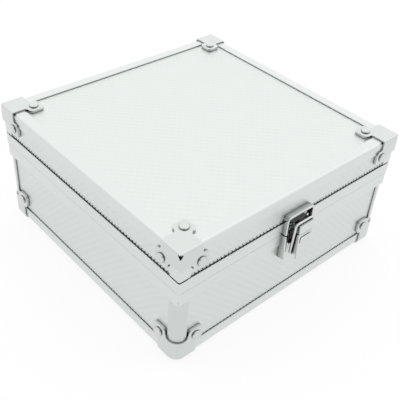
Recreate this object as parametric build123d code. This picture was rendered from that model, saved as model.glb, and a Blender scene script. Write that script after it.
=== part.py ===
from build123d import *
import math
import os

os.makedirs("parts", exist_ok=True)

# A small foam-lined aluminium case, in millimetres.
# The model is built about the shell: X runs left to right, the front face looks along -Y, and z is 0 at
# the underside of the bottom edge trims. The finished pieces are then moved together, so that the origin
# is the centre of the bottom of the whole case's box.

# Overall sizes, over the edge trims
case_width = 200.0
case_depth = 196.0
base_height = 61.5          # underside to the opening seam
lid_height = 32.0           # opening seam to the top

# Walls: laminated boards held in aluminium edge sections
board_thickness = 4.0
board_play = 0.1            # each side of a board, in its groove
board_end_gap = 0.3         # board edge to the bottom of its groove
outer_lip = 0.9             # thickness of a section's outer leg, where it holds a board
trim_edge = 0.7             # its free edge is thinner, which leaves a slot over the board
rim_edge = 0.4              # the same on the rims
slot_depth = 2.6            # from the free edge
inner_lip = 1.0             # thickness of a section's inner leg
inner_leg = 1.9             # how far an inner leg stands past the section's core
base_trim_leg = 10.0        # visible width of the bottom edge trims
lid_trim_leg = 8.5          # visible width of the top edge trims
post_leg = 8.5              # visible width of the upright corner posts
screw_channel_radius = 1.3
screw_channel_inset = 2.4   # from the core's inner corner

# Rims that meet at the seam
base_rim_height = 9.5
lid_rim_height = 9.0
base_rim_web = 3.5
lid_rim_web = 4.6
seam_gap = 0.12
tongue_thickness = 1.2
tongue_height = 2.5
tongue_depth = 3.8          # outer face of the shell to the tongue
groove_side_play = 0.65
groove_end_play = 0.6

# Rounding of the shell's edges
base_upright_radius = 7.0
base_bottom_radius = 3.0
base_rim_radius = 2.0
lid_upright_radius = 1.0
lid_top_radius = 2.5
lid_fitting_fold = 0.4      # inside radius of a folded fitting
lid_post_gap = 1.2          # open gap between a lid corner post and the rim

# Pressed corner fittings
fitting_sheet = 1.0
fitting_play = 0.1          # fitting to the trims that it covers
fitting_reach = 16.0        # along a horizontal edge of the case
base_fitting_rise = 16.5    # along an upright edge of the base
lid_fitting_drop = 12.0     # along an upright edge of the lid
ear_half = 5.8
ear_corner = 3.2
notch_radius_along = 2.4     # rounded notch beside the ear
base_notch_radius = 4.0      # the same, on the base's side faces
notch_radius_under = 1.6     # rounded notch under the ear
side_rivet_inset = 15.2     # rivet to the upright edge
base_side_rivet_height = 18.0
lid_side_rivet_drop = 12.0
flat_rivet_inset = 16.0     # rivet to both edges, on the top and bottom faces
vertex_notch_width = 3.6    # open corner of a folded lid fitting
vertex_notch_height = 3.6
vertex_notch_depth = 4.0
vertex_notch_drop = 0.9     # its top, below the top of the fitting
vertex_relief = 5.2         # how far the lid's edge sections stop short behind it

# Rivets
corner_rivet_head_radius = 3.0
corner_rivet_head_height = 1.3
corner_rivet_shank_radius = 1.8
corner_rivet_bite = 3.2     # into the board
small_rivet_head_radius = 2.1
small_rivet_head_height = 0.8
small_rivet_shank_radius = 1.2
small_rivet_bite = 2.6
rivet_rim = 0.6             # straight edge of a head
rivet_crown_share = 0.7     # flat crown, as a share of the head's radius
rivet_hole_play = 0.05

# Foam lining
foam_play = 0.3
foam_wall = 8.0
foam_floor = 10.0
foam_below_seam = 0.8
lid_foam_above_seam = 1.5

# Stop hinges on the back
hinge_width = 32.0
hinge_spacing = 116.0       # between the hinges' middles
hinge_leaf = 1.0
hinge_leaf_height = 8.8
hinge_knuckle_radius = 2.6
hinge_middle_knuckle = 16.0
hinge_knuckle_gap = 0.2
hinge_pin_radius = 1.3
hinge_fixed_play = 0.02
hinge_running_play = 0.05
hinge_axis_out = 3.2        # back face of the shell to the pin's axis
hinge_web = 2.0
hinge_leaf_clear = 0.3      # leaf to the seam, and leaf to the other leaf's knuckles
hinge_rivet_spacing = 20.0
hinge_rivet_drop = 5.6
lid_open_angle = 95.0
stop_margin = 2.0           # degrees that the lug stays off its stop
stop_lug_reach = 4.0        # from the pin's axis
stop_lug_thickness = 1.4
stop_lug_width = 6.0

# Latch on the front; depths are measured outward from the front face of the rims
keeper_width = 25.4
bracket_width = 26.0
latch_plate = 0.9
latch_wall = 1.8
latch_wall_round = 0.6      # rounded front edges of the walls
keeper_top = 14.8           # above the seam
keeper_clear = 0.3          # above the seam
keeper_depth = 3.3
keeper_corner = 3.0
bracket_bottom = 20.0       # below the seam
bracket_clear = 0.6         # below the seam
bracket_depth_top = 3.3
bracket_depth_bottom = 4.8
bracket_corner = 1.5
lever_half_width = 6.7
sheet = 0.9
pivot_out = 6.0             # lever pivot, outward from the front face
pivot_below = 1.5           # lever pivot, below the seam
pivot_pin_radius = 1.0
pivot_pin_end = 0.2         # past each cheek
pivot_play = 0.05
ear_radius = 1.9
ear_side_play = 0.3         # ear to cheek
ear_thickness = 1.0
ear_foot_low = 12.0         # below the seam
ear_foot_high = 4.5
curl_inner = 2.1
curl_angle = 75.0
cheek_thickness = 0.9
bail_wire_radius = 0.95
bail_side_play = 0.4        # cheek to the bail's leg
bail_foot_out = 5.0
bail_foot_below = 15.5
bail_bar_out = 6.3
bail_bar_above = 9.15
bail_top_bend = 1.6
bail_foot_bend = 1.3
bail_foot_end = 0.15        # past the inner face of the cheek
bail_play = 0.05
hook_lip = 0.45
hook_out = 8.55
hook_lean = 0.45            # the skirt's lower edge stands further out by this
hook_below_bar = 0.05
hook_skirt_bottom = 2.1     # above the seam
lever_knee_below = 14.5     # below the seam
lever_knee_out = 9.35
lever_tip_below = 19.3
lever_tip_out = 10.3
lever_flare = 0.5           # extra half width at the tip
boss_half_width = 4.9
boss_raise = 0.6
boss_top = 0.9              # below the seam
boss_bottom = 5.9
cheek_foot_radius = 1.7
latch_rivet_out = 8.7       # sideways from the middle
bracket_rivet_drop = 10.5   # below the seam
keeper_rivet_rise = 5.6     # above the seam

# How far a cutting shape runs past what it cuts
cut_margin = 1.0

# Derived places
half_width = case_width / 2
half_depth = case_depth / 2
case_height = base_height + lid_height
seam = base_height
groove = board_thickness + 2 * board_play
core = outer_lip + groove + inner_lip
board_face = outer_lip + board_play
board_back = board_face + board_thickness
board_edge = core + board_end_gap
lining = core + foam_play
fitting_face = fitting_play + fitting_sheet
pressed_depth = board_face - fitting_play    # how far a plate is pressed in, to lie on its board
hinge_axis_y = half_depth + hinge_axis_out
pivot_z = seam - pivot_below
bail_foot_z = seam - bail_foot_below
bail_bar_z = seam + bail_bar_above
curl_outer = curl_inner + sheet
bail_half_width = lever_half_width + bail_side_play + bail_wire_radius
hook_half_width = bail_half_width - bail_top_bend
ear_inner = lever_half_width - cheek_thickness - ear_side_play - ear_thickness

SIDES = {
    "front": (0, case_width, half_depth),
    "right": (90, case_depth, half_width),
    "back": (180, case_width, half_depth),
    "left": (270, case_depth, half_width),
}
CORNERS = {
    "front_left": (1, 1),
    "front_right": (-1, 1),
    "back_left": (1, -1),
    "back_right": (-1, -1),
}

pieces = {}


def rectangle(x_low, y_low, x_high, y_high):
    """A flat rectangle between two corners."""
    centre = Pos((x_low + x_high) / 2, (y_low + y_high) / 2)
    return centre * Rectangle(x_high - x_low, y_high - y_low)


def block(low, high):
    """A box between two corners."""
    size = [b - a for a, b in zip(low, high)]
    middle = [(a + b) / 2 for a, b in zip(low, high)]
    return Pos(*middle) * Box(*size)


def at_corner(shape, sign_x, sign_y):
    """A shape made for the front left corner, mirrored to another corner."""
    if sign_x < 0:
        shape = mirror(shape, about=Plane.YZ)
    if sign_y < 0:
        shape = mirror(shape, about=Plane.XZ)
    return shape


def upside_down(shape):
    """A shape made against the underside, mirrored against the top."""
    return Pos(0, 0, case_height) * mirror(shape, about=Plane.XY)


# Envelopes of the shell


def base_envelope(offset):
    """The base's rounded outer form, grown by an offset."""
    low = (-half_width - offset, -half_depth - offset, -offset)
    high = (half_width + offset, half_depth + offset, base_height)
    form = block(low, high)
    form = fillet(form.edges().filter_by(Axis.Z), base_upright_radius + offset)
    underside = form.faces().sort_by(Axis.Z)[0]
    return fillet(underside.edges(), base_bottom_radius + offset)


def lid_envelope():
    """The lid's outer form as if it stood on its top."""
    plan = RectangleRounded(case_width, case_depth, lid_upright_radius)
    form = extrude(plan, lid_height)
    for span, length, turn in ((case_width, case_depth, 0), (case_depth, case_width, 90)):
        # A rounded section twice as tall leaves only its lower rounding inside the plan
        section = RectangleRounded(span, 2 * lid_height, lid_top_radius)
        bar = extrude(Plane.XZ * section, length / 2, both=True)
        form = form & (Pos(0, 0, lid_height) * Rot(0, 0, turn) * bar)
    return form


def folded_envelope(offset, radius):
    """The lid's box as if it stood on its top, grown by an offset, with one radius on all its edges."""
    low = (-half_width - offset, -half_depth - offset, -offset)
    high = (half_width + offset, half_depth + offset, lid_height)
    form = block(low, high)
    underside = form.faces().sort_by(Axis.Z)[0]
    return fillet(form.edges().filter_by(Axis.Z) + underside.edges(), radius)


# Sections


def edge_section(leg):
    """An L-shaped edge section with its outer corner at the origin, grooved for two boards."""
    body = rectangle(0, 0, core, core)
    body += rectangle(0, 0, leg, outer_lip)
    body += rectangle(0, 0, outer_lip, leg)
    body -= rectangle(leg - slot_depth, trim_edge, leg, outer_lip)
    body -= rectangle(trim_edge, leg - slot_depth, outer_lip, leg)
    body += rectangle(core, core - inner_lip, core + inner_leg, core)
    body += rectangle(core - inner_lip, core, core, core + inner_leg)
    channel = core - screw_channel_inset
    return body - Pos(channel, channel) * Circle(screw_channel_radius)


def base_rim_section():
    """The base's rim, hung from the seam, with the tongue that stands above it."""
    low = seam - base_rim_height
    body = rectangle(0, low, outer_lip, seam) - rectangle(rim_edge, low, outer_lip, low + slot_depth)
    body += rectangle(core - inner_lip, low, core, seam)
    body += rectangle(0, seam - base_rim_web, core, seam)
    return body + rectangle(tongue_depth, seam, tongue_depth + tongue_thickness, seam + tongue_height)


def lid_rim_section():
    """The lid's rim, standing on the seam, with the groove for the tongue."""
    low = seam + seam_gap
    high = seam + lid_rim_height
    body = rectangle(0, low, outer_lip, high) - rectangle(rim_edge, high - slot_depth, outer_lip, high)
    body += rectangle(core - inner_lip, low, core, high)
    body += rectangle(0, low, core, seam + lid_rim_web)
    groove_in = tongue_depth + tongue_thickness + groove_side_play
    groove_top = seam + tongue_height + groove_end_play
    return body - rectangle(tongue_depth - groove_side_play, low, groove_in, groove_top)


def rail(section, side):
    """A section (depth, height) run along one side, mitred at both ends."""
    angle, length, offset = SIDES[side]
    plane = Plane(origin=(0, -offset, 0), x_dir=(0, 1, 0), z_dir=(1, 0, 0))
    bar = extrude(plane * section, length / 2, both=True)
    reach = core + inner_leg + base_trim_leg
    mitre = Polygon(
        (-length / 2, 0), (length / 2, 0), (length / 2 - reach, reach), (-length / 2 + reach, reach),
        align=None,
    )
    wedge = extrude(Pos(0, -offset, -cut_margin) * mitre, case_height)
    return Rot(0, 0, angle) * (bar & wedge)


def side_board(side, low, high):
    """An upright board of one side."""
    angle, length, offset = SIDES[side]
    reach = length / 2 - board_edge
    return Rot(0, 0, angle) * block((-reach, -offset + board_face, low), (reach, -offset + board_back, high))


def flat_board():
    """The board of the bottom, or of the top as if the lid stood on it."""
    reach_x = half_width - board_edge
    reach_y = half_depth - board_edge
    return block((-reach_x, -reach_y, board_face), (reach_x, reach_y, board_back))


# Corner fittings


def ear_outline(reach, rise, rivet, rivet_rise, along=notch_radius_along):
    """One face of a fitting: a plate at the corner and an ear round the rivet, with rounded notches."""
    outline = rectangle(-fitting_face, -fitting_face, reach, rise)
    outline += Pos(rivet, rivet_rise) * RectangleRounded(2 * ear_half, 2 * ear_half, ear_corner)
    notches = (
        (rivet - ear_half, rise, along),
        (reach, rivet_rise - ear_half, notch_radius_under),
    )
    for x, y, radius in notches:
        outline = fillet(outline.vertices().sort_by_distance((x, y, 0))[0], radius)
    return outline


def corner_fitting(inner, outer, rise, side_rivet_rise, edge_radius, along, trim_leg):
    """A pressed three-way fitting for the front left corner, standing on its flat face."""
    side = ear_outline(fitting_reach, rise, side_rivet_inset, side_rivet_rise, along)
    flat = ear_outline(fitting_reach, fitting_reach, flat_rivet_inset, flat_rivet_inset)
    depth = edge_radius + 2 * fitting_face
    corner = (-half_width, -half_depth, 0)
    front_plane = Plane(
        origin=(corner[0], corner[1] - fitting_face, 0), x_dir=(1, 0, 0), z_dir=(0, -1, 0)
    )
    left_plane = Plane(
        origin=(corner[0] - fitting_face, corner[1], 0), x_dir=(0, 1, 0), z_dir=(1, 0, 0)
    )
    flat_plane = Plane(origin=(corner[0], corner[1], -fitting_face), x_dir=(1, 0, 0), z_dir=(0, 0, 1))
    region = extrude(front_plane * side, depth, dir=(0, 1, 0))
    region += extrude(left_plane * side, depth, dir=(1, 0, 0))
    region += extrude(flat_plane * flat, depth, dir=(0, 0, 1))
    fitting = (outer - inner) & region
    # Past the sections that it covers, each ear is pressed down to its board
    reach = fitting_reach + 2 * ear_half
    side_pad = side & rectangle(post_leg + fitting_play, trim_leg + fitting_play, 2 * reach, 2 * reach)
    flat_pad = flat & rectangle(trim_leg + fitting_play, trim_leg + fitting_play, 2 * reach, 2 * reach)
    thickness = fitting_face + pressed_depth
    fitting += extrude(front_plane * side_pad, thickness, dir=(0, 1, 0))
    fitting += extrude(left_plane * side_pad, thickness, dir=(1, 0, 0))
    return fitting + extrude(flat_plane * flat_pad, thickness, dir=(0, 0, 1))


def vertex_notch():
    """The open V where a folded lid fitting's three faces meet, as if the lid stood on its top."""
    top = vertex_notch_drop - fitting_face
    across = vertex_notch_width / 2
    outline = Polygon((-across, top), (across, top), (0, top + vertex_notch_height), align=None)
    outline = fillet(outline.vertices(), fitting_play * 3)
    start = (-half_width - fitting_face, -half_depth - fitting_face, 0)
    plane = Plane(origin=start, x_dir=(-1, 1, 0), z_dir=(1, 1, 0))
    return extrude(plane * outline, vertex_notch_depth, both=True)


# Rivets


def rivet(head_radius, head_height, shank_radius, shank_length):
    """A flat-crowned rivet along +Z, its head's seat at the origin."""
    crown = head_radius * rivet_crown_share
    with BuildPart() as made:
        with BuildSketch(Plane.XZ):
            with BuildLine():
                Line((0, -shank_length), (0, head_height))
                Line((0, head_height), (crown, head_height))
                TangentArc((crown, head_height), (head_radius, rivet_rim), tangent=(1, 0))
                Line((head_radius, rivet_rim), (head_radius, 0))
                Line((head_radius, 0), (shank_radius, 0))
                Line((shank_radius, 0), (shank_radius, -shank_length))
                Line((shank_radius, -shank_length), (0, -shank_length))
            make_face()
        revolve(axis=Axis.Z)
    return made.part


def placed(shape, seat, outward):
    """A rivet or hole, made along +Z, set on a seat."""
    return Plane(origin=seat, z_dir=outward).location * shape


def rivets_with_holes(seats, head_radius, head_height, shank_radius, shank_length):
    """Rivets on a list of seats, and the holes that they need."""
    one = rivet(head_radius, head_height, shank_radius, shank_length)
    hole_radius = shank_radius + rivet_hole_play
    hole_length = shank_length + rivet_hole_play
    hole = Pos(0, 0, -hole_length / 2) * Cylinder(hole_radius, hole_length)
    rivets = [placed(one, seat, outward) for seat, outward in seats]
    holes = [placed(hole, seat, outward) for seat, outward in seats]
    return rivets, holes


def corner_rivet_seats(side_height, flat_outward):
    """Seats of the twelve corner rivets of the base or, turned over, of the lid."""
    seats = []
    for sign_x, sign_y in CORNERS.values():
        left = -sign_x * half_width
        front = -sign_y * half_depth
        seats.append(
            ((left + sign_x * side_rivet_inset, front - sign_y * fitting_face, side_height), (0, -sign_y, 0))
        )
        seats.append(
            ((left - sign_x * fitting_face, front + sign_y * side_rivet_inset, side_height), (-sign_x, 0, 0))
        )
        flat_z = -fitting_face if flat_outward < 0 else case_height + fitting_face
        flat_seat = (left + sign_x * flat_rivet_inset, front + sign_y * flat_rivet_inset, flat_z)
        seats.append((flat_seat, (0, 0, flat_outward)))
    return seats


def drilled(shape, holes):
    """A shape with those of the holes that reach it."""
    box = shape.bounding_box()
    for hole in holes:
        other = hole.bounding_box()
        apart = (
            box.min.X > other.max.X or other.min.X > box.max.X
            or box.min.Y > other.max.Y or other.min.Y > box.max.Y
            or box.min.Z > other.max.Z or other.min.Z > box.max.Z
        )
        if not apart:
            shape = shape - hole
    return shape


# Hinges


def hinge_profile_box(out_low, out_high, low, high, x_low, x_high):
    """A box behind the back face, with heights counted from the seam."""
    return block((x_low, half_depth + out_low, seam + low), (x_high, half_depth + out_high, seam + high))


def hinge_tube(radius, x_low, x_high):
    """A round bar on the hinge's axis."""
    bar = Rot(0, 90, 0) * Cylinder(radius, x_high - x_low)
    return Pos((x_low + x_high) / 2, hinge_axis_y, seam) * bar


def hinge_leaf_piece(direction):
    """A leaf with its knuckles: direction is -1 for the base's leaf and 1 for the lid's."""
    half = hinge_width / 2
    middle = hinge_middle_knuckle / 2
    clear = hinge_knuckle_radius + hinge_leaf_clear
    near, far = hinge_leaf_clear, hinge_leaf_clear + hinge_leaf_height
    if direction < 0:
        own = [(-half, -middle - hinge_knuckle_gap), (middle + hinge_knuckle_gap, half)]
        other = [(-middle - hinge_knuckle_gap, middle + hinge_knuckle_gap)]
        play = hinge_fixed_play
    else:
        own = [(-middle, middle)]
        other = [(-half, -middle), (middle, half)]
        play = hinge_running_play
    low, high = sorted((direction * near, direction * far))
    leaf = hinge_profile_box(0, hinge_leaf, low, high, -half, half)
    for x_low, x_high in other:
        cut_low, cut_high = sorted((0, direction * clear))
        leaf -= hinge_profile_box(0, hinge_leaf, cut_low, cut_high, x_low, x_high)
    for x_low, x_high in own:
        web_low, web_high = sorted((direction * near, direction * (near + hinge_web)))
        leaf += hinge_profile_box(0, hinge_axis_out, web_low, web_high, x_low, x_high)
        leaf += hinge_tube(hinge_knuckle_radius, x_low, x_high)
    if direction > 0:
        leaf += stop_lug()
    return leaf - hinge_tube(hinge_pin_radius + play, -hinge_width, hinge_width)


def stop_lug():
    """The lug that meets the base's leaf when the lid is fully open."""
    face = hinge_axis_out - hinge_leaf
    meets = -180 + math.degrees(math.acos(face / stop_lug_reach))
    lead = math.degrees(math.asin(stop_lug_thickness / 2 / stop_lug_reach))
    angle = meets + lead + lid_open_angle + stop_margin
    half = stop_lug_width / 2
    bar = block((-half, 0, -stop_lug_thickness / 2), (half, stop_lug_reach, stop_lug_thickness / 2))
    bar = bar & (Rot(0, 90, 0) * Cylinder(stop_lug_reach, stop_lug_width))
    return Pos(0, hinge_axis_y, seam) * Rot(angle, 0, 0) * bar


def hinge_seats(direction, middle_x):
    """Seats of a leaf's two rivets."""
    z = seam + direction * hinge_rivet_drop
    y = half_depth + hinge_leaf
    return [((middle_x + sign * hinge_rivet_spacing / 2, y, z), (0, 1, 0)) for sign in (-1, 1)]


# Latch


def latch_plane(x):
    """A plane across the latch whose first axis points outward and whose second points up."""
    return Plane(origin=(x, -half_depth, 0), x_dir=(0, -1, 0), z_dir=(-1, 0, 0))


def latch_slab(outline, x_low, x_high):
    """An outline (outward, height) given a width along X."""
    return extrude(latch_plane(x_high) * outline, x_high - x_low, dir=(-1, 0, 0))


def latch_outline(*points):
    """A closed outline through (outward, height) points."""
    return Polygon(*points, align=None)


def latch_bar(radius, out, height, x_low, x_high):
    """A round bar along X in the latch."""
    return latch_slab(Pos(out, height) * Circle(radius), x_low, x_high)


def keeper():
    """The plate on the lid, with its top and side walls and the hook."""
    half = keeper_width / 2
    low = seam + keeper_clear
    high = seam + keeper_top
    front = Plane(origin=(0, -half_depth, 0), x_dir=(1, 0, 0), z_dir=(0, -1, 0))
    outer = rectangle(-half, low, half, high)
    top_corners = outer.vertices().sort_by(Axis.Y)[-2:]
    outer = fillet(top_corners, keeper_corner)
    inner = rectangle(-half + latch_wall, low - cut_margin, half - latch_wall, high - latch_wall)
    inner_top = inner.vertices().sort_by(Axis.Y)[-2:]
    inner = fillet(inner_top, keeper_corner - latch_wall)
    hollow = Pos(0, -latch_plate, 0) * extrude(front * inner, keeper_depth, dir=(0, -1, 0))
    shell = extrude(front * outer, keeper_depth, dir=(0, -1, 0)) - hollow
    shell = fillet(shell.faces().sort_by(Axis.Y)[0].edges(), latch_wall_round)
    shelf_top = bail_bar_z - bail_wire_radius - hook_below_bar
    skirt_low = seam + hook_skirt_bottom
    hook = latch_outline(
        (0, shelf_top - sheet), (hook_out - sheet, shelf_top - sheet),
        (hook_out - sheet + hook_lean, skirt_low), (hook_out + hook_lean, skirt_low),
        (hook_out, shelf_top + hook_lip), (hook_out - sheet, shelf_top + hook_lip),
        (hook_out - sheet, shelf_top), (0, shelf_top),
    )
    on_board = outer & rectangle(-half, seam + lid_rim_height + fitting_play, half, high)
    shell += extrude(front * on_board, pressed_depth, dir=(0, 1, 0))
    return shell + latch_slab(hook, -hook_half_width, hook_half_width)


def bracket():
    """The plate on the base, with its side walls and the two ears that carry the lever's pin."""
    half = bracket_width / 2
    low = seam - bracket_bottom
    high = seam - bracket_clear
    body = latch_slab(rectangle(0, low, latch_plate, high), -half, half)
    on_board = seam - base_rim_height - fitting_play
    body += latch_slab(rectangle(-pressed_depth, low, 0, on_board), -half, half)
    wall = latch_outline((0, low), (0, high), (bracket_depth_top, high), (bracket_depth_bottom, low))
    wall = fillet(wall.vertices().sort_by(Axis.X)[-2:], bracket_corner)
    for x_low in (-half, half - latch_wall):
        side = latch_slab(wall, x_low, x_low + latch_wall)
        forward = -half_depth - bracket_depth_top / 2
        edges = [edge for edge in side.edges() if edge.center().Y < forward and abs((edge % 0.5).X) < 0.5]
        body += fillet(edges, latch_wall_round)
    foot_high = seam - ear_foot_high
    foot_low = seam - ear_foot_low
    run_out = pivot_out - latch_plate
    run_up = pivot_z - (foot_high + foot_low) / 2
    length = math.hypot(run_out, run_up)
    side_out = ear_radius * run_up / length
    side_up = ear_radius * run_out / length
    ear = latch_outline(
        (0, foot_low), (latch_plate, foot_low), (pivot_out + side_out, pivot_z - side_up),
        (pivot_out - side_out, pivot_z + side_up), (latch_plate, foot_high), (0, foot_high),
    )
    ear += Pos(pivot_out, pivot_z) * Circle(ear_radius)
    for x_low in (-ear_inner - ear_thickness, ear_inner):
        body += latch_slab(ear, x_low, x_low + ear_thickness)
    hole_reach = ear_inner + ear_thickness + ear_side_play
    return body - latch_bar(pivot_pin_radius + hinge_fixed_play, pivot_out, pivot_z, -hole_reach, hole_reach)


def lever():
    """The lever: a curled and flared plate with two cheeks, on the bracket's pin."""
    knee_z = seam - lever_knee_below
    tip_z = seam - lever_tip_below
    back = sheet
    plate = latch_outline(
        (pivot_out + curl_outer, pivot_z), (lever_knee_out, knee_z), (lever_tip_out, tip_z),
        (lever_tip_out - back, tip_z), (lever_knee_out - back, knee_z), (pivot_out + curl_inner, pivot_z),
    )
    body = latch_slab(plate, -lever_half_width, lever_half_width)
    flare = latch_outline(
        (lever_knee_out, knee_z), (lever_tip_out, tip_z),
        (lever_tip_out - back, tip_z), (lever_knee_out - back, knee_z),
    )
    wide = lever_half_width + lever_flare
    slant = Polygon(
        (-lever_half_width, knee_z), (lever_half_width, knee_z), (wide, tip_z), (-wide, tip_z), align=None
    )
    slant = fillet(slant.vertices().sort_by(Axis.Y)[:2], bracket_corner)
    front = Plane(origin=(0, -half_depth, 0), x_dir=(1, 0, 0), z_dir=(0, -1, 0))
    tip = latch_slab(flare, -wide, wide) & extrude(front * slant, 2 * lever_tip_out, dir=(0, -1, 0))
    below_knee = rectangle(0, tip_z - cut_margin, 2 * lever_tip_out, knee_z)
    body = (body - latch_slab(below_knee, -wide, wide)) + tip
    ring = Circle(curl_outer) - Circle(curl_inner)
    far = 2 * curl_outer
    turn = math.radians(curl_angle)
    sector = latch_outline((0, 0), (far, 0), (far, far), (far * math.cos(turn), far * math.sin(turn)))
    body += latch_slab(Pos(pivot_out, pivot_z) * (ring & sector), -lever_half_width, lever_half_width)
    cheek_low = seam - bail_foot_below
    cheek = latch_outline(
        (pivot_out - curl_outer / 2, pivot_z - curl_inner), (pivot_out + curl_outer - sheet / 2, pivot_z),
        (lever_knee_out - sheet / 2, knee_z), (bail_foot_out, cheek_low - cheek_foot_radius),
        (bail_foot_out - cheek_foot_radius, cheek_low),
    )
    cheek += Pos(pivot_out, pivot_z) * Circle(curl_outer)
    cheek += Pos(bail_foot_out, cheek_low) * Circle(cheek_foot_radius)
    for x_low in (-lever_half_width, lever_half_width - cheek_thickness):
        body += latch_slab(cheek, x_low, x_low + cheek_thickness)
    boss_front = Plane(origin=(0, -half_depth - lever_knee_out + sheet, 0), x_dir=(1, 0, 0), z_dir=(0, -1, 0))
    boss = rectangle(-boss_half_width, seam - boss_bottom, boss_half_width, seam - boss_top)
    boss = fillet(boss.vertices(), bracket_corner / 2)
    raised = extrude(boss_front * boss, boss_raise + sheet - curl_inner / 4, dir=(0, -1, 0))
    body += raised - latch_bar(curl_inner, pivot_out, pivot_z, -lever_half_width, lever_half_width)
    reach = 2 * lever_half_width
    body -= latch_bar(pivot_pin_radius + pivot_play, pivot_out, pivot_z, -reach, reach)
    return body - latch_bar(bail_wire_radius + bail_play, bail_foot_out, bail_foot_z, -reach, reach)


def bail():
    """The wire loop that hangs over the hook, its feet turned into the lever's cheeks."""
    foot_x = lever_half_width - cheek_thickness - bail_foot_end
    foot_y = -half_depth - bail_foot_out
    bar_y = -half_depth - bail_bar_out
    points = [
        (-foot_x, foot_y, bail_foot_z), (-bail_half_width, foot_y, bail_foot_z),
        (-bail_half_width, bar_y, bail_bar_z), (bail_half_width, bar_y, bail_bar_z),
        (bail_half_width, foot_y, bail_foot_z), (foot_x, foot_y, bail_foot_z),
    ]
    radii = [bail_foot_bend, bail_top_bend, bail_top_bend, bail_foot_bend]
    path = FilletPolyline(*points, radius=radii)
    section = Plane(origin=points[0], z_dir=(-1, 0, 0)) * Circle(bail_wire_radius)
    return sweep(section, path=path)


def latch_seats(direction, drop):
    """Seats of the latch plates' rivets: direction is -1 for the base and 1 for the lid."""
    y = -half_depth - latch_plate
    return [((sign * latch_rivet_out, y, seam + direction * drop), (0, -1, 0)) for sign in (-1, 1)]


# The base

base_form = base_envelope(0)
rim_form = extrude(RectangleRounded(case_width, case_depth, base_rim_radius), case_height)
lid_form = lid_envelope()

corner_shank = fitting_face + board_face + corner_rivet_bite
base_corner_rivets, base_corner_holes = rivets_with_holes(
    corner_rivet_seats(base_side_rivet_height, -1),
    corner_rivet_head_radius, corner_rivet_head_height, corner_rivet_shank_radius, corner_shank,
)
lid_corner_rivets, lid_corner_holes = rivets_with_holes(
    corner_rivet_seats(case_height - lid_side_rivet_drop, 1),
    corner_rivet_head_radius, corner_rivet_head_height, corner_rivet_shank_radius, corner_shank,
)
small_shank = hinge_leaf + board_face + small_rivet_bite
base_small_seats = latch_seats(-1, bracket_rivet_drop)
lid_small_seats = latch_seats(1, keeper_rivet_rise)
for middle_x in (-hinge_spacing / 2, hinge_spacing / 2):
    base_small_seats += hinge_seats(-1, middle_x)
    lid_small_seats += hinge_seats(1, middle_x)
small_sizes = (small_rivet_head_radius, small_rivet_head_height, small_rivet_shank_radius, small_shank)
base_small_rivets, base_small_holes = rivets_with_holes(base_small_seats, *small_sizes)
lid_small_rivets, lid_small_holes = rivets_with_holes(lid_small_seats, *small_sizes)
base_holes = base_corner_holes + base_small_holes
lid_holes = lid_corner_holes + lid_small_holes

for side in SIDES:
    low = board_edge
    high = seam - base_rim_web - board_end_gap
    pieces[f"base_{side}_panel"] = drilled(side_board(side, low, high), base_holes)
    pieces[f"base_{side}_rim"] = drilled(rail(base_rim_section(), side) & rim_form, base_holes)
    pieces[f"base_{side}_trim"] = drilled(rail(edge_section(base_trim_leg), side) & base_form, base_holes)
pieces["base_floor_panel"] = drilled(flat_board(), base_holes)

post_low = max(base_trim_leg, core + inner_leg)
post_height = seam - base_rim_height - post_low
post = Pos(-half_width, -half_depth, post_low) * extrude(edge_section(post_leg), post_height)
post = post & base_form
base_fitting = corner_fitting(
    base_envelope(fitting_play), base_envelope(fitting_face),
    base_fitting_rise, base_side_rivet_height, base_upright_radius, base_notch_radius,
    base_trim_leg,
)
for corner, (sign_x, sign_y) in CORNERS.items():
    pieces[f"base_{corner}_post"] = at_corner(post, sign_x, sign_y)
    pieces[f"base_{corner}_fitting"] = drilled(at_corner(base_fitting, sign_x, sign_y), base_holes)

foam_floor_top = lining + foam_floor
foam_top = seam - foam_below_seam
floor_x = half_width - lining
floor_y = half_depth - lining
pieces["base_foam_floor"] = block((-floor_x, -floor_y, lining), (floor_x, floor_y, foam_floor_top))
for side in SIDES:
    angle, length, offset = SIDES[side]
    reach = length / 2 - lining
    if side in ("left", "right"):
        reach -= foam_wall + foam_play
    low = (-reach, -offset + lining, foam_floor_top + foam_play)
    high = (reach, -offset + lining + foam_wall, foam_top)
    pieces[f"base_foam_{side}"] = Rot(0, 0, angle) * block(low, high)

# The lid, made standing on its top and then turned over

notch = vertex_notch()
lid_low = case_height - (seam + lid_rim_web + board_end_gap)
lid_post_low = max(lid_trim_leg, core + inner_leg)
lid_post_height = lid_height - lid_rim_height - lid_post_gap - lid_post_low
lid_post = Pos(-half_width, -half_depth, lid_post_low) * extrude(edge_section(post_leg), lid_post_height)
lid_post = lid_post & lid_form
lid_fitting = corner_fitting(
    folded_envelope(fitting_play, lid_fitting_fold),
    folded_envelope(fitting_face, lid_fitting_fold + fitting_sheet),
    lid_fitting_drop, lid_side_rivet_drop, lid_fitting_fold + fitting_sheet, notch_radius_along,
    lid_trim_leg,
) - notch
relief = Pos(-half_width, -half_depth, 0) * Box(2 * vertex_relief, 2 * vertex_relief, 2 * vertex_relief)
reliefs = [at_corner(relief, *signs) for signs in CORNERS.values()]
for side in SIDES:
    upright = upside_down(side_board(side, board_edge, lid_low))
    pieces[f"lid_{side}_panel"] = drilled(upright, lid_holes)
    pieces[f"lid_{side}_rim"] = drilled(rail(lid_rim_section(), side) & upside_down(lid_form), lid_holes)
    trim = rail(edge_section(lid_trim_leg), side) & lid_form
    pieces[f"lid_{side}_trim"] = upside_down(drilled(trim, reliefs))
pieces["lid_top_panel"] = drilled(upside_down(flat_board()), lid_holes)
lid_posts = [upside_down(at_corner(lid_post, *signs)) for signs in CORNERS.values()]
pieces["lid_corner_posts"] = Compound(lid_posts)
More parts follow.
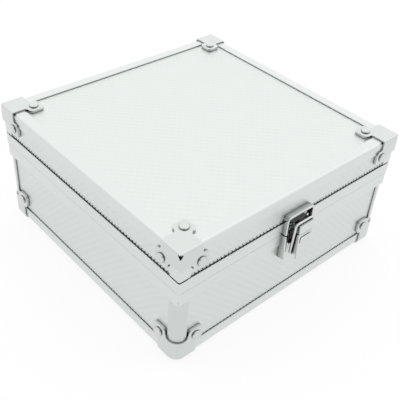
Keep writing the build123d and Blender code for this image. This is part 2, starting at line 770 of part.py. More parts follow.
for corner, (sign_x, sign_y) in CORNERS.items():
    pieces[f"lid_{corner}_fitting"] = drilled(upside_down(at_corner(lid_fitting, sign_x, sign_y)), lid_holes)
lid_foam_low = seam + lid_foam_above_seam
pieces["lid_foam_pad"] = block((-floor_x, -floor_y, lid_foam_low), (floor_x, floor_y, case_height - lining))

# Hinges, latch and rivets

for name, middle_x in (("left", -hinge_spacing / 2), ("right", hinge_spacing / 2)):
    base_leaf = Pos(middle_x, 0, 0) * hinge_leaf_piece(-1)
    lid_leaf = Pos(middle_x, 0, 0) * hinge_leaf_piece(1)
    pieces[f"hinge_{name}_base_leaf"] = drilled(base_leaf, base_holes)
    pieces[f"hinge_{name}_lid_leaf"] = drilled(lid_leaf, lid_holes)
hinge_pin = hinge_tube(hinge_pin_radius, -hinge_width / 2, hinge_width / 2)
pieces["hinge_pins"] = Compound([Pos(x, 0, 0) * hinge_pin for x in (-hinge_spacing / 2, hinge_spacing / 2)])
pieces["latch_keeper"] = drilled(keeper(), lid_holes)
pieces["latch_bracket"] = drilled(bracket(), base_holes)
half_pin = lever_half_width + pivot_pin_end
pieces["latch_pivot_pin"] = latch_bar(pivot_pin_radius, pivot_out, pivot_z, -half_pin, half_pin)
pieces["latch_lever"] = lever()
pieces["latch_bail"] = bail()
pieces["base_corner_rivets"] = Compound(base_corner_rivets)
pieces["base_small_rivets"] = Compound(base_small_rivets)
pieces["lid_corner_rivets"] = Compound(lid_corner_rivets)
pieces["lid_small_rivets"] = Compound(lid_small_rivets)

# The whole case is moved so that the origin is the centre of the bottom of its box

boxes = [shape.bounding_box() for shape in pieces.values()]
front_most = min(box.min.Y for box in boxes)
back_most = max(box.max.Y for box in boxes)
lowest = min(box.min.Z for box in boxes)
shift = Pos(0, -(front_most + back_most) / 2, -lowest)
for name, shape in pieces.items():
    export_step(shift * shape, f"parts/{name}.step")

shift_y = shift.position.Y
shift_z = shift.position.Z
print("pieces", len(pieces))
print("shift", round(shift_y, 4), round(shift_z, 4))
print("lid hinge axis y z", round(hinge_axis_y + shift_y, 4), round(seam + shift_z, 4))
print("lever pivot y z", round(-half_depth - pivot_out + shift_y, 4), round(pivot_z + shift_z, 4))
print("bail pivot y z", round(-half_depth - bail_foot_out + shift_y, 4), round(bail_foot_z + shift_z, 4))
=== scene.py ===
import math

import bmesh
import bpy
from mathutils import Matrix, Vector


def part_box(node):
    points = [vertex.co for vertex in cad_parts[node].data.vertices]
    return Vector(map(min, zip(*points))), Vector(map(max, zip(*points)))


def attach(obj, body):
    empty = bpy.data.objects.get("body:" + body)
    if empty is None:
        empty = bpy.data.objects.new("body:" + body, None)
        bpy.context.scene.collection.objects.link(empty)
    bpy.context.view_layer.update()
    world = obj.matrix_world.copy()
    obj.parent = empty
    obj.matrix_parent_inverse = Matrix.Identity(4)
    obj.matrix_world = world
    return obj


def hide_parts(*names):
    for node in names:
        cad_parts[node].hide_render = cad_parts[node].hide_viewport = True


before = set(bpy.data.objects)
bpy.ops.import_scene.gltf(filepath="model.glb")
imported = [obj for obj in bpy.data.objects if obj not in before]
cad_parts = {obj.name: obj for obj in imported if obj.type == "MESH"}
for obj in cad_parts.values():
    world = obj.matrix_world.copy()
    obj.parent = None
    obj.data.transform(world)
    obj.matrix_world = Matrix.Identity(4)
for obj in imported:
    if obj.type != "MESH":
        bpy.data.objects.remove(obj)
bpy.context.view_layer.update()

bl_info = {
    "name": "Foam-lined aluminium case",
    "version": (1, 0, 0),
    "blender": (4, 5, 0),
    "location": "3D View > Sidebar > Case",
    "description": "Finishes, foam lining and stage of a small aluminium case",
    "category": "Object",
}

MM = 0.001

# Two parts of the white tent round the case: the way to each part, then the cosines of the angles
# from there at which it ends and at which it is at its fullest
BRIGHT_WALL = ((0.55, 0.56, 0.62), 0.1, 0.9)
TENT_OPENING = ((-0.66, -0.68, 0.3), 0.8, 0.93)

# Strength of the tent away from its bright wall, and of that wall
TENT_STRENGTH = (0.96, 1.2)

# Name, place and size in metres, and power in watts
LAMPS = (
    ("left_lamp", (-0.9, 0.5, 1.2), 1.8, 1.0),
    ("right_lamp", (0.9, -0.6, 1.2), 1.8, 1.0),
)

# Half the side of the floor in metres, and the share of its white that is its own where it is seen
FLOOR_REACH = 4.0
FLOOR_GLOW = 0.85

# The camera that fits the case's edges in the photograph: its place in metres, two directions,
# and its focal length in pixels of a picture this many pixels wide
EYE = (-0.27839653, -0.29148357, 0.3459404)
FORWARD = (0.54515505, 0.56056131, -0.62335944)
RIGHT = (0.74774074, -0.66134545, 0.05921137)
FOCAL_PIXELS = 667.74
PICTURE_PIXELS = 400
SENSOR_WIDTH = 36.0

# Roughness of the skin and of the sections where they are smoothest, and where they are dullest
SKIN_ROUGHNESS = (0.36, 0.44)
SECTION_ROUGHNESS = (0.24, 0.34)

# Size of the faint patches of haze on plated metal, and how far they change its roughness
HAZE_PATCH = 4 * MM
HAZE_SHARES = (0.8, 1.25)

# Share of its surroundings that plated metal is open to where its painted shade is darkest, and where it
# is clear of it
OPEN_SHARES = (0.3, 0.95)

# How many times longer than wide the faint lines along an extrusion are
DIE_LINE_STRETCH = 60

# How far a painted shadow tick leans over its height, in radians of the row of ticks, and how dark the
# ticks are
SLOT_SHADOW_LEAN = 3.0
SLOT_SHADOW_DARKNESS = 0.8

# Cosine above which the foot of a painted shadow tick is dark: the lower it is, the wider the foot
SLOT_SHADOW_FOOT = {"base": -0.3, "lid": 0.3}

# Share of the skin's relief that its deeper rows take, and the share left where they are most worn
DEEP_ROWS = 0.75
WORN_SHARE = 0.35

# Values between which most of a noise texture lies
NOISE_SPREAD = (0.3, 0.7)

# Painted shade in the foam's open cells: shares of the foam's colour in the middle of a pore
# and at its wall, and how far off the wall is as a share of a pore's size
PORE_SHADES = (0.55, 1.15)
PORE_WALL = 0.8

# Distance between the points of the foam's grids
PAD_STEP = 1 * MM
CRATE_STEP = 1.5 * MM

# The sides that a board or an edge section can be on
SIDES = ("front", "back", "left", "right")
CORNERS = ("front_left", "front_right", "back_left", "back_right")


def linear(hex_colour):
    """Linear red, green and blue from an sRGB hex value."""
    channels = [int(hex_colour[i:i + 2], 16) / 255 for i in (1, 3, 5)]
    return tuple(c / 12.92 if c <= 0.04045 else ((c + 0.055) / 1.055) ** 2.4 for c in channels)


def colour(name, description, hex_colour):
    """A colour property with its default from a hex value."""
    return bpy.props.FloatVectorProperty(
        name=name, description=description, subtype="COLOR",
        size=3, min=0, max=1, default=linear(hex_colour),
    )


def length(name, description, millimetres):
    """A length property with its default from millimetres."""
    return bpy.props.FloatProperty(
        name=name, description=description, unit="LENGTH",
        min=0, default=millimetres * MM, precision=5,
    )


class CaseColours(bpy.types.PropertyGroup):
    """Colours of the case's finishes, of its painted shade and of the stage."""

    skin: colour("Board skin", "Raised points of the boards' aluminium skin", "#DDE1DF")
    # Painted shade: the hollows are coloured darker than the points, for the shade in them
    skin_hollow_shade: colour("Skin hollows", "Hollows between the points of that skin", "#D8DCDA")
    section: colour("Edge sections", "Satin anodised aluminium extrusion", "#D9DDDB")
    post: colour("Corner posts", "Rounded extrusion on the base's upright edges", "#D0D4D2")
    plate: colour("Corner fittings", "Nickel plate on pressed steel", "#D0D4D2")
    latch: colour("Latch", "Bright nickel plate on the latch", "#D4D8D6")
    # Painted shade: plated recesses and the ticks beside the sections darken towards this colour
    shaded_recess: colour("Recesses", "Plated metal in its recesses, and the nicks", "#1A1C1B")
    hinge: colour("Hinges", "Nickel plate on the hinges", "#CFD1D1")
    foam: colour("Foam", "Open-cell foam lining", "#2E2F31")
    floor: colour("Floor", "Seamless paper under the case", "#E7E7E7")
    room: colour("Room", "The duller room behind the camera, for bright metal to mirror", "#C4C8C8")


class CaseSizes(bpy.types.PropertyGroup):
    """Sizes of patterns, of painted shade and shadow, and of the foam's form."""

    emboss_row: length("Emboss row", "Distance between the rows of the skin's pattern", 4.2)
    emboss_height: length("Emboss height", "Height of the skin's pattern", 0.05)
    emboss_patch: length("Emboss patch", "Size of the patches in which the pattern fades", 11.0)
    die_line: length("Die line", "Distance between the faint lines along an extrusion", 0.9)
    plate_wave: length("Plate wave", "Distance between the gentle waves of a pressed and plated face", 9.0)
    # Painted shadow: short dark ticks beside the sections stand for the slot's shadow at a section's lip
    slot_shadow_spacing: length("Slot shadow spacing", "Distance between the nicks beside a section", 3.0)
    base_slot_shadow: length("Base slot shadow", "Height of the nicks over the bottom sections", 1.1)
    lid_slot_shadow: length("Lid slot shadow", "Height of the nicks over the lid's rim", 2.4)
    # Reaches of the painted shade in recesses of plated metal
    fitting_recess: length("Fitting recess", "How near a neighbour darkens a fitting, rivet or hinge", 1.6)
    latch_recess: length("Latch recess", "How near a neighbour darkens the latch", 5.0)
    foam_cell: length("Foam cell", "Size of the foam's open cells", 0.9)
    crate_pitch: length("Convolute pitch", "Distance between the peaks of the lid's convoluted foam", 23.0)
    crate_depth: length("Convolute depth", "Depth of the hollows between those peaks", 9.0)
    foam_round: length("Foam edge", "Softness of the foam's cut edges", 1.5)


def add_node(tree, kind, settings=None, inputs=None):
    """One node with its settings, and each of its inputs set to a value or linked from a socket."""
    node = tree.nodes.new(kind)
    for name, value in (settings or {}).items():
        setattr(node, name, value)
    for name, value in (inputs or {}).items():
        if isinstance(value, bpy.types.NodeSocket):
            tree.links.new(value, node.inputs[name])
        else:
            node.inputs[name].default_value = value
    return node


def new_material(name):
    """An empty node material with its output."""
    material = bpy.data.materials.new(name)
    material.use_nodes = True
    tree = material.node_tree
    tree.nodes.clear()
    return material, tree


def finish_material(tree, shader):
    """Links a shader to the surface."""
    add_node(tree, "ShaderNodeOutputMaterial", inputs={"Surface": shader.outputs[0]})


def dress(names, material):
    """Gives a material to every slot of some CAD nodes."""
    for name in names:
        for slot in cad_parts[name].material_slots:
            slot.material = material


def slot_shadow_ticks(tree, place, across, per_wave, edge, slot_shadow_height, foot_cosine):
    """A mask of painted shadow in a row of short ticks just above a height: the slot's shadow at a
    section's lip, broken up by the skin's rows.
    """
    heights = add_node(tree, "ShaderNodeSeparateXYZ", inputs={"Vector": place.outputs["Object"]})
    above = add_node(tree, "ShaderNodeMapRange", inputs={
        "Value": heights.outputs["Z"], "From Min": edge, "From Max": edge + slot_shadow_height,
    })
    # Each painted shadow tick narrows upward and leans
    lean = add_node(tree, "ShaderNodeMath", {"operation": "MULTIPLY"}, {
        0: above.outputs["Result"], 1: SLOT_SHADOW_LEAN,
    })
    place_along = add_node(tree, "ShaderNodeMath", {"operation": "MULTIPLY_ADD"}, {
        0: across.outputs["Result"], 1: per_wave, 2: lean.outputs[0],
    })
    wave = add_node(tree, "ShaderNodeMath", {"operation": "COSINE"}, {0: place_along.outputs[0]})
    narrowing = add_node(tree, "ShaderNodeMapRange", inputs={
        "Value": above.outputs["Result"], "To Min": foot_cosine, "To Max": 1.0,
    })
    shadow_tick = add_node(tree, "ShaderNodeMath", {"operation": "GREATER_THAN"}, {
        0: wave.outputs[0], 1: narrowing.outputs["Result"],
    })
    return add_node(tree, "ShaderNodeMath", {"operation": "MULTIPLY"}, {
        0: shadow_tick.outputs[0], 1: SLOT_SHADOW_DARKNESS,
    })


def embossed_aluminium_skin(name, colours, sizes, edge, slot_shadow_height, foot_cosine):
    """Aluminium foil rolled with two crossing families of fine rows, on a board.

    The deeper rows catch the light as faint broken lines, and the foil between them is satin.
    The hollows between the points get a painted shade, and a section's lip a painted slot shadow.
    The real rows are half as far apart, too fine for the render, so they are drawn twice as coarse.
    """
    material, tree = new_material(name)
    place = add_node(tree, "ShaderNodeTexCoord")
    turns = 2 * math.pi / (sizes.emboss_row * math.sqrt(2))
    phases = add_node(tree, "ShaderNodeVectorMath", {"operation": "SCALE"}, {
        "Vector": place.outputs["Object"], "Scale": turns,
    })
    axes = add_node(tree, "ShaderNodeSeparateXYZ", inputs={"Vector": phases.outputs["Vector"]})
    facing = add_node(tree, "ShaderNodeSeparateXYZ", inputs={"Vector": place.outputs["Normal"]})
    sideways = add_node(tree, "ShaderNodeMath", {"operation": "ABSOLUTE"}, {0: facing.outputs["X"]})
    upward = add_node(tree, "ShaderNodeMath", {"operation": "ABSOLUTE"}, {0: facing.outputs["Z"]})
    # Two coordinates in the plane of whichever board is being shaded
    across = add_node(tree, "ShaderNodeMix", inputs={
        "Factor": sideways.outputs[0], "A": axes.outputs["X"], "B": axes.outputs["Y"],
    })
    along = add_node(tree, "ShaderNodeMix", inputs={
        "Factor": upward.outputs[0], "A": axes.outputs["Z"], "B": axes.outputs["Y"],
    })
    rows = []
    for operation, depth in (("ADD", DEEP_ROWS), ("SUBTRACT", 1 - DEEP_ROWS)):
        diagonal = add_node(tree, "ShaderNodeMath", {"operation": operation}, {
            0: across.outputs["Result"], 1: along.outputs["Result"],
        })
        wave = add_node(tree, "ShaderNodeMath", {"operation": "COSINE"}, {0: diagonal.outputs[0]})
        rows.append(add_node(tree, "ShaderNodeMath", {"operation": "MULTIPLY"}, {
            0: wave.outputs[0], 1: depth,
        }))
    points = add_node(tree, "ShaderNodeMath", {"operation": "ADD"}, {
        0: rows[0].outputs[0], 1: rows[1].outputs[0],
    })
    # Rolling wears the rows unevenly, so they fade in and out across a board
    mottle = add_node(tree, "ShaderNodeTexNoise", inputs={
        "Vector": place.outputs["Object"], "Scale": 1 / sizes.emboss_patch, "Detail": 3.0,
    })
    wear = add_node(tree, "ShaderNodeMapRange", inputs={
        "Value": mottle.outputs["Fac"], "From Min": NOISE_SPREAD[0], "From Max": NOISE_SPREAD[1],
        "To Min": WORN_SHARE, "To Max": 1.0,
    })
    worn = add_node(tree, "ShaderNodeMath", {"operation": "MULTIPLY"}, {
        0: points.outputs[0], 1: wear.outputs["Result"],
    })
    bump = add_node(tree, "ShaderNodeBump", inputs={
        "Strength": 1.0, "Distance": sizes.emboss_height, "Height": worn.outputs[0],
    })
    # Painted shade: the hollows between the points are coloured darker than the points themselves
    relief_shade = add_node(tree, "ShaderNodeMapRange", inputs={
        "Value": worn.outputs[0], "From Min": -1.0, "From Max": 1.0,
    })
    tint = add_node(tree, "ShaderNodeMix", {"data_type": "RGBA"}, {
        "Factor": relief_shade.outputs["Result"], 6: (*colours.skin_hollow_shade, 1), 7: (*colours.skin, 1),
    })
    per_wave = sizes.emboss_row * math.sqrt(2) / sizes.slot_shadow_spacing
    slot_shadowed = slot_shadow_ticks(tree, place, across, per_wave, edge, slot_shadow_height, foot_cosine)
    # Painted shadow of the slot at the section's lip, in short ticks over the skin's colour
    shadow_painted = add_node(tree, "ShaderNodeMix", {"data_type": "RGBA"}, {
        "Factor": slot_shadowed.outputs[0], 6: tint.outputs[2], 7: (*colours.shaded_recess, 1),
    })
    rough = add_node(tree, "ShaderNodeMapRange", inputs={
        "Value": mottle.outputs["Fac"],
        "To Min": SKIN_ROUGHNESS[0], "To Max": SKIN_ROUGHNESS[1],
    })
    shader = add_node(tree, "ShaderNodeBsdfPrincipled", inputs={
        "Base Color": shadow_painted.outputs[2], "Metallic": 1.0,
        "Roughness": rough.outputs["Result"], "Normal": bump.outputs["Normal"],
    })
    finish_material(tree, shader)
    return material


def satin_aluminium_extrusion(name, tint, sizes, axis):
    """Anodised aluminium drawn through a die, which leaves faint straight lines along its length.

    They draw out the reflections along the section. Real ones are finer than the render can show,
    so they are drawn coarser.
    """
    material, tree = new_material(name)
    place = add_node(tree, "ShaderNodeTexCoord")
    fine = 1 / sizes.die_line
    scale = [fine, fine, fine]
    scale["xyz".index(axis)] = fine / DIE_LINE_STRETCH
    stretched = add_node(tree, "ShaderNodeMapping", inputs={
        "Vector": place.outputs["Object"], "Scale": scale,
    })
    lines = add_node(tree, "ShaderNodeTexNoise", inputs={
        "Vector": stretched.outputs["Vector"], "Scale": 1.0, "Detail": 3.0,
    })
    bump = add_node(tree, "ShaderNodeBump", inputs={
        "Strength": 0.25, "Distance": 0.02 * MM, "Height": lines.outputs["Fac"],
    })
    rough = add_node(tree, "ShaderNodeMapRange", inputs={
        "Value": lines.outputs["Fac"],
        "To Min": SECTION_ROUGHNESS[0], "To Max": SECTION_ROUGHNESS[1],
    })
    shader = add_node(tree, "ShaderNodeBsdfPrincipled", inputs={
        "Base Color": (*tint, 1), "Metallic": 1.0,
        "Roughness": rough.outputs["Result"], "Normal": bump.outputs["Normal"],
    })
    finish_material(tree, shader)
    return material


def nickel_plate(name, colours, sizes, tint, roughness, wave_height, shaded_recess):
    """Bright nickel plated on pressed steel: mirror-like, with the slow waves that pressing leaves.

    Recesses narrower than the given distance are painted dark, a painted shade for how they mirror only
    each other.
    """
    material, tree = new_material(name)
    place = add_node(tree, "ShaderNodeTexCoord")
    waves = add_node(tree, "ShaderNodeTexNoise", inputs={
        "Vector": place.outputs["Object"], "Scale": 1 / sizes.plate_wave, "Detail": 1.0,
    })
    bump = add_node(tree, "ShaderNodeBump", inputs={
        "Strength": 1.0, "Distance": wave_height, "Height": waves.outputs["Fac"],
    })
    haze = add_node(tree, "ShaderNodeTexNoise", inputs={
        "Vector": place.outputs["Object"], "Scale": 1 / HAZE_PATCH, "Detail": 5.0,
    })
    rough = add_node(tree, "ShaderNodeMapRange", inputs={
        "Value": haze.outputs["Fac"],
        "To Min": roughness * HAZE_SHARES[0], "To Max": roughness * HAZE_SHARES[1],
    })
    openness = add_node(tree, "ShaderNodeAmbientOcclusion", {"samples": 8}, {"Distance": shaded_recess})
    clear = add_node(tree, "ShaderNodeMapRange", inputs={
        "Value": openness.outputs["AO"], "From Min": OPEN_SHARES[0], "From Max": OPEN_SHARES[1],
    })
    # Painted shade: the plate's colour darkens towards the shaded recess colour where neighbours are near
    shade = add_node(tree, "ShaderNodeMix", {"data_type": "RGBA"}, {
        "Factor": clear.outputs["Result"], 6: (*colours.shaded_recess, 1), 7: (*tint, 1),
    })
    shader = add_node(tree, "ShaderNodeBsdfPrincipled", inputs={
        "Base Color": shade.outputs[2], "Metallic": 1.0,
        "Roughness": rough.outputs["Result"], "Normal": bump.outputs["Normal"],
    })
    finish_material(tree, shader)
    return material


def open_cell_foam(colours, sizes):
    """Charcoal polyurethane foam, cut from a block: matt, with open cells that look like fine pores,
    painted darker in their middles as shade.
    """
    material, tree = new_material("open_cell_foam")
    place = add_node(tree, "ShaderNodeTexCoord")
    cells = add_node(tree, "ShaderNodeTexVoronoi", inputs={
        "Vector": place.outputs["Object"], "Scale": 1 / sizes.foam_cell,
    })
    # Painted shade: each pore's middle is darkened and its wall drawn lighter
    shade = add_node(tree, "ShaderNodeMapRange", inputs={
        "Value": cells.outputs["Distance"], "From Max": PORE_WALL,
        "To Min": PORE_SHADES[0], "To Max": PORE_SHADES[1],
    })
    tinted = add_node(tree, "ShaderNodeMix", {"data_type": "RGBA", "blend_type": "MULTIPLY"}, {
        "Factor": 1.0, 6: (*colours.foam, 1), 7: shade.outputs["Result"],
    })
    bump = add_node(tree, "ShaderNodeBump", inputs={
        "Strength": 0.6, "Distance": 0.3 * MM, "Height": cells.outputs["Distance"],
    })
    shader = add_node(tree, "ShaderNodeBsdfPrincipled", inputs={
        "Base Color": tinted.outputs[2], "Roughness": 0.95, "Sheen Weight": 0.25,
        "Sheen Roughness": 0.6, "Normal": bump.outputs["Normal"],
    })
    finish_material(tree, shader)
    return material


class CASE_OT_boards(bpy.types.Operator):
    """Dress the boards in embossed aluminium skin"""

    bl_idname = "case.boards"
    bl_label = "Boards"

    def execute(self, context):
        scene = context.scene
        colours, sizes = scene.case_colours, scene.case_sizes
        # Each part's flat board, the section that its side boards stand in, and the height of the painted
        # slot shadow over that
        parts = {
            "base": ("base_floor_panel", "base_front_trim", sizes.base_slot_shadow),
            "lid": ("lid_top_panel", "lid_front_rim", sizes.lid_slot_shadow),
        }
        for part, (board, section, slot_shadow_height) in parts.items():
            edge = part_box(section)[1].z
            material = embossed_aluminium_skin(
                "embossed_aluminium_skin_" + part, colours, sizes, edge, slot_shadow_height, SLOT_SHADOW_FOOT[part]
            )
            dress([f"{part}_{side}_panel" for side in SIDES] + [board], material)
        return {"FINISHED"}


class CASE_OT_sections(bpy.types.Operator):
    """Dress the rims, edge trims and corner posts in satin extrusion"""

    bl_idname = "case.sections"
    bl_label = "Edge sections"

    def execute(self, context):
        colours, sizes = context.scene.case_colours, context.scene.case_sizes
        materials = {
            axis: satin_aluminium_extrusion(
                "satin_aluminium_extrusion_" + axis, colours.section, sizes, axis
            )
            for axis in "xyz"
        }
        for side in SIDES:
            axis = "x" if side in ("front", "back") else "y"
            names = [f"{part}_{side}_{kind}" for part in ("base", "lid") for kind in ("rim", "trim")]
            dress(names, materials[axis])
        dress(["lid_corner_posts"], materials["z"])
        rounded = satin_aluminium_extrusion("satin_rounded_extrusion", colours.post, sizes, "z")
        dress([f"base_{corner}_post" for corner in CORNERS], rounded)
        return {"FINISHED"}


class CASE_OT_fittings(bpy.types.Operator):
    """Plate the corner fittings and rivets"""

    bl_idname = "case.fittings"
    bl_label = "Corner fittings"

    def execute(self, context):
        scene = context.scene
        colours, sizes = scene.case_colours, scene.case_sizes
        pressed = nickel_plate(
            "nickel_plated_pressing", colours, sizes, tint=colours.plate,
            roughness=0.13, wave_height=0.25 * MM, shaded_recess=sizes.fitting_recess,
        )
        dress([f"{part}_{corner}_fitting" for part in ("base", "lid") for corner in CORNERS], pressed)
        headed = nickel_plate(
            "nickel_plated_rivet", colours, sizes, tint=colours.plate,
            roughness=0.14, wave_height=0.05 * MM, shaded_recess=sizes.fitting_recess,
        )
        kinds = ("corner", "small")
        dress([f"{part}_{kind}_rivets" for part in ("base", "lid") for kind in kinds], headed)
        return {"FINISHED"}


class CASE_OT_latch(bpy.types.Operator):
    """Plate the draw latch"""

    bl_idname = "case.latch"
    bl_label = "Latch"

    def execute(self, context):
        scene = context.scene
        colours, sizes = scene.case_colours, scene.case_sizes
        material = nickel_plate(
            "bright_nickel_plate", colours, sizes, tint=colours.latch,
            roughness=0.12, wave_height=0.12 * MM, shaded_recess=sizes.latch_recess,
        )
        pieces = ("keeper", "bracket", "lever", "bail", "pivot_pin")
        dress(["latch_" + piece for piece in pieces], material)
        return {"FINISHED"}


class CASE_OT_hinges(bpy.types.Operator):
    """Plate the hinges"""

    bl_idname = "case.hinges"
    bl_label = "Hinges"

    def execute(self, context):
        scene = context.scene
        colours, sizes = scene.case_colours, scene.case_sizes
        material = nickel_plate(
            "nickel_plated_hinge", colours, sizes, tint=colours.hinge,
            roughness=0.2, wave_height=0.15 * MM, shaded_recess=sizes.fitting_recess,
        )
        leaves = [f"hinge_{side}_{part}_leaf" for side in ("left", "right") for part in ("base", "lid")]
        dress(leaves + ["hinge_pins"], material)
        return {"FINISHED"}


def foam_block(name, low, high, rounding, step, top_height):
    """A closed foam block between two corners, its top a grid lifted by a function of x and y."""
    across = max(2, round((high.x - low.x) / step))
    along = max(2, round((high.y - low.y) / step))
    made = bmesh.new()
    grid = {}
    for level, z in (("low", low.z), ("high", high.z)):
        for i in range(across + 1):
            for j in range(along + 1):
                x = low.x + (high.x - low.x) * i / across
                y = low.y + (high.y - low.y) * j / along
                edge = min(x - low.x, high.x - x, y - low.y, high.y - y)
                sunk = rounding - math.sqrt(max(0, rounding ** 2 - max(0, rounding - edge) ** 2))
                height = z + top_height(x, y) - sunk if level == "high" else z
                grid[level, i, j] = made.verts.new((x, y, height))
    for i in range(across):
        for j in range(along):
            for level in ("low", "high"):
                corners = [grid[level, i + a, j + b] for a, b in ((0, 0), (1, 0), (1, 1), (0, 1))]
                made.faces.new(corners if level == "high" else corners[::-1])

    def wall(first, second):
        """One face of a wall between two columns, which looks outward when they run anticlockwise."""
        columns = (("low", first), ("low", second), ("high", second), ("high", first))
        made.faces.new([grid[(level, *column)] for level, column in columns])

    for i in range(across):
        wall((i, 0), (i + 1, 0))
        wall((i + 1, along), (i, along))
    for j in range(along):
        wall((0, j + 1), (0, j))
        wall((across, j), (across, j + 1))
    mesh = bpy.data.meshes.new(name)
    made.to_mesh(mesh)
    made.free()
    for polygon in mesh.polygons:
        polygon.use_smooth = True
    piece = bpy.data.objects.new(name, mesh)
    bpy.context.scene.collection.objects.link(piece)
    return piece


def place_foam(piece, body, node, material):
    """Lets a foam piece stand for its CAD solid."""
    piece.data.materials.append(material)
    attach(piece, body)
    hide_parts(node)


class CASE_OT_foam(bpy.types.Operator):
    """Make the foam lining of the base and the lid"""

    bl_idname = "case.foam"
    bl_label = "Foam lining"

    def execute(self, context):
        sizes = context.scene.case_sizes
        material = open_cell_foam(context.scene.case_colours, sizes)
        rounding = sizes.foam_round
        turns = math.pi / sizes.crate_pitch
        depth = sizes.crate_depth

        def flat(x, y):
            """A plain top."""
            return 0

        def crate(x, y):
            """Egg-crate hollows, with peaks level with the solid's face."""
            return -depth * (0.5 - 0.5 * math.sin(turns * (x + y)) * math.sin(turns * (x - y)))

        for side in ("floor", *SIDES):
            node = "base_foam_" + side
            piece = foam_block("lining_" + side, *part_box(node), rounding, PAD_STEP, flat)
            place_foam(piece, "base", node, material)
        low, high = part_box("lid_foam_pad")
        piece = foam_block("lining_lid", low, high, rounding, CRATE_STEP, crate)
        # The block is made with its hollows up, and the lid's face down
        middle = (low.z + high.z) / 2
        lower = Matrix.Translation((0, 0, -middle))
        turn_over = Matrix.Scale(-1, 4, (0, 0, 1))
        raise_again = Matrix.Translation((0, 0, middle))
        piece.data.transform(raise_again @ turn_over @ lower)
        piece.data.flip_normals()
        place_foam(piece, "lid", "lid_foam_pad", material)
        return {"FINISHED"}


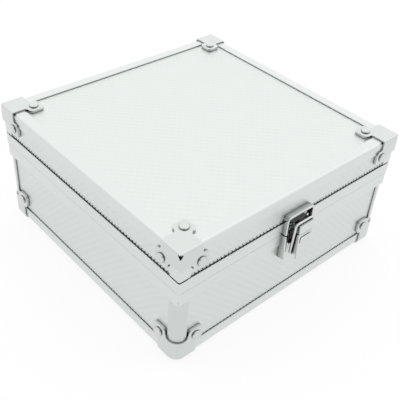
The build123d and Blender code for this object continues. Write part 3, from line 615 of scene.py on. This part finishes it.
class CASE_OT_stage(bpy.types.Operator):
    """Make the floor, the lamps, the world and the camera"""

    bl_idname = "case.stage"
    bl_label = "Stage"

    def execute(self, context):
        scene = context.scene
        colours = scene.case_colours
        scene.view_settings.view_transform = "Standard"
        self.make_floor(scene, colours)
        self.make_world(scene, colours)
        self.make_lamps(scene)
        self.make_camera(scene)
        return {"FINISHED"}

    def make_floor(self, scene, colours):
        """Seamless white paper: matt, with nothing to see but the case's soft shadow."""
        made = bmesh.new()
        bmesh.ops.create_grid(made, x_segments=1, y_segments=1, size=FLOOR_REACH)
        mesh = bpy.data.meshes.new("floor")
        made.to_mesh(mesh)
        made.free()
        floor = bpy.data.objects.new("floor", mesh)
        scene.collection.objects.link(floor)
        material, tree = new_material("white_paper")
        path = add_node(tree, "ShaderNodeLightPath")
        direct = add_node(tree, "ShaderNodeMath", {"operation": "MAXIMUM"}, {
            0: path.outputs["Is Camera Ray"], 1: path.outputs["Is Glossy Ray"],
        })
        seen = add_node(tree, "ShaderNodeMath", {"operation": "MAXIMUM"}, {
            0: direct.outputs[0], 1: path.outputs["Is Transmission Ray"],
        })
        shade = add_node(tree, "ShaderNodeMix", {"data_type": "RGBA"}, {
            "Factor": seen.outputs[0], 6: (*colours.floor, 1), 7: (1, 1, 1, 1),
        })
        paper = add_node(tree, "ShaderNodeBsdfDiffuse", inputs={"Color": shade.outputs[2]})
        white = add_node(tree, "ShaderNodeEmission", inputs={"Color": (1, 1, 1, 1), "Strength": 1.0})
        # Where it is seen, most of the white is the paper's own, so the shadow on it stays faint
        share = add_node(tree, "ShaderNodeMath", {"operation": "MULTIPLY"}, {
            0: seen.outputs[0], 1: FLOOR_GLOW,
        })
        shader = add_node(tree, "ShaderNodeMixShader", inputs={
            "Fac": share.outputs[0], 1: paper.outputs[0], 2: white.outputs[0],
        })
        finish_material(tree, shader)
        mesh.materials.append(material)

    def make_world(self, scene, colours):
        """A white tent, brightest behind the case and open to a duller room behind the camera."""
        world = bpy.data.worlds.new("white_tent")
        world.use_nodes = True
        scene.world = world
        tree = world.node_tree
        tree.nodes.clear()
        way = add_node(tree, "ShaderNodeTexCoord")
        parts = []
        for heading, ends, fullest in (BRIGHT_WALL, TENT_OPENING):
            toward = add_node(tree, "ShaderNodeVectorMath", {"operation": "DOT_PRODUCT"}, {
                0: way.outputs["Generated"], 1: Vector(heading).normalized(),
            })
            parts.append(add_node(tree, "ShaderNodeMapRange", {"interpolation_type": "SMOOTHSTEP"}, {
                "Value": toward.outputs["Value"], "From Min": ends, "From Max": fullest,
            }))
        wall, opening = parts
        strength = add_node(tree, "ShaderNodeMapRange", inputs={
            "Value": wall.outputs["Result"], "To Min": TENT_STRENGTH[0], "To Max": TENT_STRENGTH[1],
        })
        tint = add_node(tree, "ShaderNodeMix", {"data_type": "RGBA"}, {
            "Factor": opening.outputs["Result"], 6: (1, 1, 1, 1), 7: (*colours.room, 1),
        })
        light = add_node(tree, "ShaderNodeBackground", inputs={
            "Color": tint.outputs[2], "Strength": strength.outputs["Result"],
        })
        add_node(tree, "ShaderNodeOutputWorld", inputs={"Surface": light.outputs[0]})

    def make_lamps(self, scene):
        """A large faint lamp high on either side, for glints on rounded metal."""
        for name, place, size, energy in LAMPS:
            data = bpy.data.lights.new(name, "AREA")
            data.size = size
            data.energy = energy
            lamp = bpy.data.objects.new(name, data)
            lamp.location = place
            lamp.rotation_euler = (-lamp.location).to_track_quat("-Z", "Y").to_euler()
            scene.collection.objects.link(lamp)

    def make_camera(self, scene):
        """The photograph's point of view."""
        data = bpy.data.cameras.new("camera")
        data.sensor_width = SENSOR_WIDTH
        data.lens = FOCAL_PIXELS / PICTURE_PIXELS * SENSOR_WIDTH
        camera = bpy.data.objects.new("camera", data)
        forward = Vector(FORWARD).normalized()
        right = Vector(RIGHT).normalized()
        up = right.cross(forward)
        turn = Matrix((right, up, -forward)).transposed()
        camera.matrix_world = Matrix.Translation(EYE) @ turn.to_4x4()
        scene.collection.objects.link(camera)
        scene.camera = camera


class CASE_PT_sidebar(bpy.types.Panel):
    """Lists the case's colours, sizes and steps"""

    bl_idname = "CASE_PT_sidebar"
    bl_label = "Aluminium case"
    bl_space_type = "VIEW_3D"
    bl_region_type = "UI"
    bl_category = "Case"

    def draw(self, context):
        for group in (context.scene.case_colours, context.scene.case_sizes):
            box = self.layout.box()
            for name in group.__annotations__:
                box.prop(group, name)
        for step in STEPS:
            self.layout.operator(step.bl_idname)


STEPS = (
    CASE_OT_boards,
    CASE_OT_sections,
    CASE_OT_fittings,
    CASE_OT_latch,
    CASE_OT_hinges,
    CASE_OT_foam,
    CASE_OT_stage,
)
CLASSES = (CaseColours, CaseSizes, *STEPS, CASE_PT_sidebar)


def register():
    for one in CLASSES:
        bpy.utils.register_class(one)
    bpy.types.Scene.case_colours = bpy.props.PointerProperty(type=CaseColours)
    bpy.types.Scene.case_sizes = bpy.props.PointerProperty(type=CaseSizes)


def unregister():
    del bpy.types.Scene.case_sizes
    del bpy.types.Scene.case_colours
    for one in reversed(CLASSES):
        bpy.utils.unregister_class(one)


def main():
    """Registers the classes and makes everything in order."""
    register()
    bpy.ops.case.boards()
    bpy.ops.case.sections()
    bpy.ops.case.fittings()
    bpy.ops.case.latch()
    bpy.ops.case.hinges()
    bpy.ops.case.foam()
    bpy.ops.case.stage()


if __name__ == "__main__":
    main()
